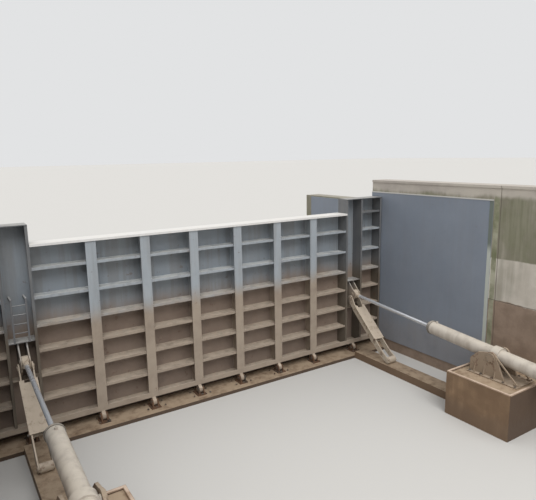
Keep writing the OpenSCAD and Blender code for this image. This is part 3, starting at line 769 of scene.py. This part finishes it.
def cheekRuns(middle, look, y0, y1, z, rise):
    # runs along Y on both sides of two upright cheeks, as far from the middle as the look says
    runs = []
    for turn in (-1, 1):
        x0, x1 = sorted((middle + turn * look["cheekIn"], middle + turn * look["cheekOut"]))
        runs += [[[x0, y0, z], [x0, y1, z], -axisX, rise], [[x1, y0, z], [x1, y1, z], axisX, rise]]
    return runs


bracketWelds = {**weldSeams, "leg": 0.014, "plate": 0.025, "cheekIn": 0.1, "cheekOut": 0.14, "neck": 0.23}


def buildBracketWelds(side, look):
    # seams of the two cheeks against the roof and the floor plate of a drive bracket
    low, high = span(f"{side}_drive_bracket")
    middle = (low[0] + high[0]) / 2
    runs = cheekRuns(middle, look, look["neck"], high[1], high[2] - look["plate"], -axisZ)
    runs += cheekRuns(middle, look, look["neck"], high[1], low[2] + look["plate"], axisZ)
    seams(f"{side}_bracket_welds", runs, "leaf", "bracketPaint", look)


standWelds = {**weldSeams, "leg": 0.018, "cheekIn": 0.31, "cheekOut": 0.38, "back": 0.47, "front": 0.7}


def buildStandWelds(side, look):
    # seams of the two cheeks on the base plate of a trunnion stand
    x, y, _ = cylinderAxis(side)[0]
    top = levels(corners(f"{side}_trunnion_stand")[:, 2])[1]
    runs = cheekRuns(x, look, y - look["back"], y + look["front"], top, axisZ)
    seams(f"{side}_stand_welds", runs, "root", "standPaint", look)


for side in sides:
    buildBracketWelds(side, bracketWelds)
    buildStandWelds(side, standWelds)

skinBeads = {"wide": 0.022, "proud": 0.004, "sides": 6, "perHeight": 3, "inFromEdge": 0.12,
             "underCrest": 0.06}


def buildSkinBeads(look):
    # flat butt seams between the sheets of the skin, on its upstream face: half an ellipse swept straight,
    # upright behind the middle of each bay and level at even heights
    low, high = span("skin_plate")
    crest = span("crest_plate")[0][2]
    girders = [np.mean(span(f"girder_{i}"), 0)[0] for i in range(1, 7)]
    middles = np.array(girders[:-1]) + np.diff(girders) / 2
    heights = np.linspace(low[2], crest, look["perHeight"] + 1)[1:-1]
    back, edge = high[1], look["inFromEdge"]
    paths = [([x, back, low[2] + edge], [x, back, crest - look["underCrest"]]) for x in middles]
    paths += [([low[0] + edge, back, z], [high[0] - edge, back, z]) for z in heights]
    angle = np.linspace(0, math.pi, look["sides"])[:, None]
    beads = []
    for start, end in paths:
        aside = np.cross(unit(np.subtract(end, start)), axisY)
        section = np.cos(angle) * look["wide"] / 2 * aside + np.sin(angle) * look["proud"] * axisY
        beads.append(tube(np.stack([start + section, end + section])))
    makePiece("skin_beads", joined(beads), "leaf", "shadedSkinPaint", True)


buildSkinBeads(skinBeads)
print("weld seams built")


# turned pieces: covers, rings and nuts round an axis

def turnedPiece(name, profile, centres, directions, body, finish, count=48):
    # closed rings: a profile of radius and height is carried round each axis in count steps
    radius, height = np.array(profile, float).T[:, :, None, None]
    faces = gridFaces(len(profile), count, closedRows=True)
    grids = [c + radius * circle(d, count) + height * unit(d) for c, d in zip(centres, directions)]
    makePiece(name, joined([(grid.reshape(-1, 3), faces) for grid in grids]), body, finish)


outs = [-axisX, axisX]  # away from the middle of a piece, to its left and right

trunnionCovers = {"inner": 0.096, "outer": 0.152, "thick": 0.03, "chamfer": 0.005, "vent": 0.006,
                  "roof": 0.008, "proud": 0.015, "bolts": 8, "circle": 0.125, "bolt": 0.013, "turn": 0.2}


def buildTrunnionCovers(side, look):
    # a bolted cap on the outer face of each stand cheek, hollow round the end of the trunnion pin
    origin = cylinderAxis(side)[0]
    low, high = span(f"{side}_trunnion_collar")
    centres = [np.array([x, *origin[1:]]) for x in (low[0] + look["proud"], high[0] - look["proud"])]
    inner, outer, thick, cut = look["inner"], look["outer"], look["thick"], look["chamfer"]
    ceiling = thick - look["roof"]
    profile = [(inner, 0), (outer, 0), (outer, thick - cut), (outer - cut, thick), (look["vent"], thick),
               (look["vent"], ceiling), (inner, ceiling)]
    turnedPiece(f"{side}_trunnion_covers", profile, centres, outs, "root", "standPaint")
    faces = [c + o * thick for c, o in zip(centres, outs)]
    places = ringPlaces(faces, outs, look["circle"], look["bolts"], look["turn"])
    boltField(f"{side}_cover_bolts", look["bolt"], places, "root")


cylinderEnds = {"bolts": 16, "circle": 0.19, "bolt": 0.022, "wiperInner": 0.0662, "wiperOuter": 0.105,
                "wiperLong": 0.022, "chamfer": 0.006, "leg": 0.014, "steps": 4, "collarHalf": 0.13,
                "barrel": 0.2245}


def buildCylinderEnds(side, look):
    # tie bolts on the closed end, a wiper ring on the gland's nose, weld rings beside the trunnion collar
    origin, direction = cylinderAxis(side)
    body = f"{side}_cylinder"
    end = origin + direction * reach(f"{side}_barrel", origin, direction)[0]
    places = ringPlaces([end], [-direction], look["circle"], look["bolts"])
    boltField(f"{side}_cap_bolts", look["bolt"], places, body, "cylinderPaint")
    nose = origin + direction * reach(f"{side}_gland", origin, direction)[1]
    inner, outer, long, cut = look["wiperInner"], look["wiperOuter"], look["wiperLong"], look["chamfer"]
    wiper = [(inner, 0), (outer - cut, 0), (outer, cut), (outer, long - cut), (outer - cut, long),
             (inner, long)]
    turnedPiece(f"{side}_rod_wiper", wiper, [nose], [direction], body, "sealRubber")
    arc = np.linspace(0, math.pi / 2, look["steps"])
    barrel, leg = look["barrel"], look["leg"]
    seam = [(barrel, 0.0)] + [(barrel + leg * math.cos(a), leg * math.sin(a)) for a in arc]
    ways = [direction, -direction]
    turnedPiece(f"{side}_collar_welds", seam, [origin + way * look["collarHalf"] for way in ways], ways, body,
                "cylinderPaint")


pinEnds = {"headOut": 0.155, "headCircle": 0.062, "headBolt": 0.013, "headBolts": 4, "headTurn": 0.4,
           "eyeRadius": 0.19, "stubOut": 0.225, "plate": 0.088, "hole": 0.001, "thick": 0.012,
           "chamfer": 0.003, "stubCircle": 0.045, "stubBolt": 0.012, "stubBolts": 3, "footDown": 1.0,
           "nut": 0.05}


def buildPinEnds(side, look):
    # bolts on the rod pin's heads, a keeper plate on each prop stub and a nut on each end of the foot axle
    origin, direction = cylinderAxis(side)
    eye = origin + direction * (reach(f"{side}_rod_eye", origin, direction)[1] - look["eyeRadius"])
    stub = np.array(joints[f"{side}_prop_fold"]["pos_m"], float)
    heads = [eye + out * look["headOut"] for out in outs]
    places = ringPlaces(heads, outs, look["headCircle"], look["headBolts"], look["headTurn"])
    boltField(f"{side}_rod_pin_bolts", look["headBolt"], places, "leaf")
    hole, plate, thick, cut = look["hole"], look["plate"], look["thick"], look["chamfer"]
    profile = [(hole, 0), (plate, 0), (plate, thick - cut), (plate - cut, thick), (hole, thick)]
    ends = [stub + out * look["stubOut"] for out in outs]
    turnedPiece(f"{side}_stub_keepers", profile, ends, outs, "leaf", "bracketPaint")
    faces = [end + out * thick for end, out in zip(ends, outs)]
    places = ringPlaces(faces, outs, look["stubCircle"], look["stubBolts"])
    boltField(f"{side}_stub_bolts", look["stubBolt"], places, "leaf")
    prop = corners(f"{side}_prop")
    axle = prop[np.abs(prop[:, 0] - prop[:, 0].max()) < hair]
    axle = axle[axle[:, 2] < stub[2] - look["footDown"]]  # the foot's end face, and not the head's
    x, y, z = (axle.min(0) + axle.max(0)) / 2
    places = [standing(np.array([stub[0], y, z]) + out * (x - stub[0]), out) for out in outs]
    boltField(f"{side}_axle_nuts", look["nut"], np.concatenate(places), f"{side}_prop_strut")


for side in sides:
    buildTrunnionCovers(side, trunnionCovers)
    buildCylinderEnds(side, cylinderEnds)
    buildPinEnds(side, pinEnds)
print("covers, rings and nuts built")

rimCrust = {"wide": 0.08, "over": 0.006, "low": 0.012, "high": 0.02, "under": 0.03, "step": 0.035,
            "across": 9, "ends": (0.004, 0.996), "edge": 5, "mean": 0.35, "swing": 0.3, "waver": 0.004,
            "seed": 11, "layers": ((0, 0.25), (2, 0.6), (6, 1.6))}


def unevenness(rows, columns, layers, generator):
    # layers of seeded random values, each smoothed by averaging neighbours, the broader ones stronger
    total = np.zeros((rows, columns))
    for passes, weight in layers:
        layer = generator.uniform(-1, 1, (rows, columns))
        for _ in range(passes):
            layer = (layer + np.roll(layer, 1, 0) + np.roll(layer, -1, 0) + np.roll(layer, 1, 1)) / 4
        total += layer * weight
    return total / np.abs(total).max()


def buildRimCrust(side, look):
    # broken mortar on the raised rims: a section that goes up one face, over the top and down the other,
    # carried along each rim and pushed out by the noise
    low, high = span(f"{side}_pier_block")
    top = high[2]
    generator = np.random.default_rng(look["seed"] + sides.index(side))
    free, wall, inward = (high[0], low[0], -1.0) if side == "left" else (low[0], high[0], 1.0)
    paths = [((free, low[1]), (free, high[1]), (inward, 0.0)), ((free, low[1]), (wall, low[1]), (0.0, 1.0)),
             ((free, high[1]), (wall, high[1]), (0.0, -1.0))]
    section = np.linspace(0, 1, look["across"])
    shape = np.clip(np.minimum(section, 1 - section) * look["edge"], 0, 1)[None]
    rims = []
    for begin, end, aside in np.array(paths):
        rows = int(np.linalg.norm(end - begin) / look["step"])
        noise = unevenness(rows, look["across"], look["layers"], generator)
        along = np.linspace(*look["ends"], rows)[:, None]
        rise = look["low"] + look["high"] * (look["mean"] + look["swing"] * noise)
        height = top - look["low"] + shape * rise
        offset = -look["over"] + (look["wide"] + 2 * look["over"]) * section[None] + look["waver"] * noise
        flat = (begin + (end - begin) * along)[:, None] + offset[..., None] * aside
        grid = np.concatenate([flat, height[..., None]], -1)
        foot = np.insert(flat[:, [-1, 0]], 2, top - look["under"], -1)
        rims.append(tube(np.concatenate([grid, foot], 1)))
    makePiece(f"{side}_rim_crust", joined(rims), "root", "mortar", True)


for side in sides:
    buildRimCrust(side, rimCrust)
print("chipped rims built")


# floor, light and camera

floorLook = {"half": 600.0, "under": 0.002, "colour": colour(200, 198, 194), "roughness": 0.9}


def buildFloor(look):
    half, level = look["half"], cadLow[2] - look["under"]
    mesh = bpy.data.meshes.new("studio_floor")
    points = [[-half, -half, level], [half, -half, level], [half, half, level], [-half, half, level]]
    mesh.from_pydata(points, [], [[0, 1, 2, 3]])
    floor = bpy.data.objects.new("studio_floor", mesh)
    bpy.context.scene.collection.objects.link(floor)
    material = bpy.data.materials.new("studioFloor")
    material.use_nodes = True
    surface = material.node_tree.nodes["Principled BSDF"]
    surface.inputs["Base Color"].default_value = look["colour"]
    surface.inputs["Roughness"].default_value = look["roughness"]
    mesh.materials.append(material)


buildFloor(floorLook)

skyLook = {"backdrop": colour(226, 227, 228), "dome": (1.0, 1.0, 1.0, 1.0), "domeStrength": 0.72,
           "lamps": {"softFront": {"strength": 1.4, "spread": 36.0, "turn": (43.0, 0.0, -18.0)},
                     "softTop": {"strength": 0.8, "spread": 110.0, "turn": (8.0, 0.0, 0.0)}}}


def buildLight(look):
    # a plain white dome and two very soft lamps; the camera, gloss and glass see a pale backdrop
    world = bpy.data.worlds.new("studioSky")
    bpy.context.scene.world = world
    world.use_nodes = True
    sky = Tree(world.node_tree)
    dome = world.node_tree.nodes["Background"]
    dome.inputs["Color"].default_value = look["dome"]
    dome.inputs["Strength"].default_value = look["domeStrength"]
    shown = sky.add("ShaderNodeBackground", {"Color": look["backdrop"], "Strength": 1.0})
    path = sky.add("ShaderNodeLightPath").outputs
    seen = sky.maths("MAXIMUM", path["Is Camera Ray"], path["Is Glossy Ray"])
    either = sky.add("ShaderNodeMixShader", {0: sky.maths("MAXIMUM", seen, path["Is Transmission Ray"])})
    sky.join(either.inputs[1], dome.outputs[0])
    sky.join(either.inputs[2], shown.outputs[0])
    sky.join(world.node_tree.nodes["World Output"].inputs["Surface"], either.outputs[0])
    for name, values in look["lamps"].items():
        lamp = bpy.data.lights.new(name, "SUN")
        lamp.energy = values["strength"]
        lamp.angle = math.radians(values["spread"])
        holder = bpy.data.objects.new(name, lamp)
        holder.rotation_euler = [math.radians(turn) for turn in values["turn"]]
        bpy.context.scene.collection.objects.link(holder)


buildLight(skyLook)

cameraLook = {"place": (-8.211, -16.116, 8.516), "yaw": -32.717, "pitch": 10.367, "roll": 0.922,
              "lens": 35.03, "sensor": 36.0, "sight": 2000.0}


def buildCamera(look):
    # yaw is to the left of +Y seen from above, pitch is downwards, and roll turns the picture's own axes
    yaw, pitch, roll = (math.radians(look[key]) for key in ("yaw", "pitch", "roll"))
    forward = np.array([-math.sin(yaw) * math.cos(pitch), math.cos(yaw) * math.cos(pitch), -math.sin(pitch)])
    right = np.array([math.cos(yaw), math.sin(yaw), 0.0])
    down = np.cross(forward, right)
    turnedRight = right * math.cos(roll) + down * math.sin(roll)
    turnedDown = down * math.cos(roll) - right * math.sin(roll)
    matrix = np.eye(4)
    matrix[:3, :3] = np.stack([turnedRight, -turnedDown, -forward], 1)
    matrix[:3, 3] = look["place"]
    view = bpy.data.cameras.new("photoView")
    view.lens = look["lens"]
    view.sensor_width = look["sensor"]
    view.clip_end = look["sight"]
    camera = bpy.data.objects.new("photoView", view)
    camera.matrix_world = Matrix(matrix.tolist())
    bpy.context.scene.collection.objects.link(camera)
    bpy.context.scene.camera = camera


buildCamera(cameraLook)
bpy.context.scene.view_settings.view_transform = "Standard"
print("floor, light and camera set")
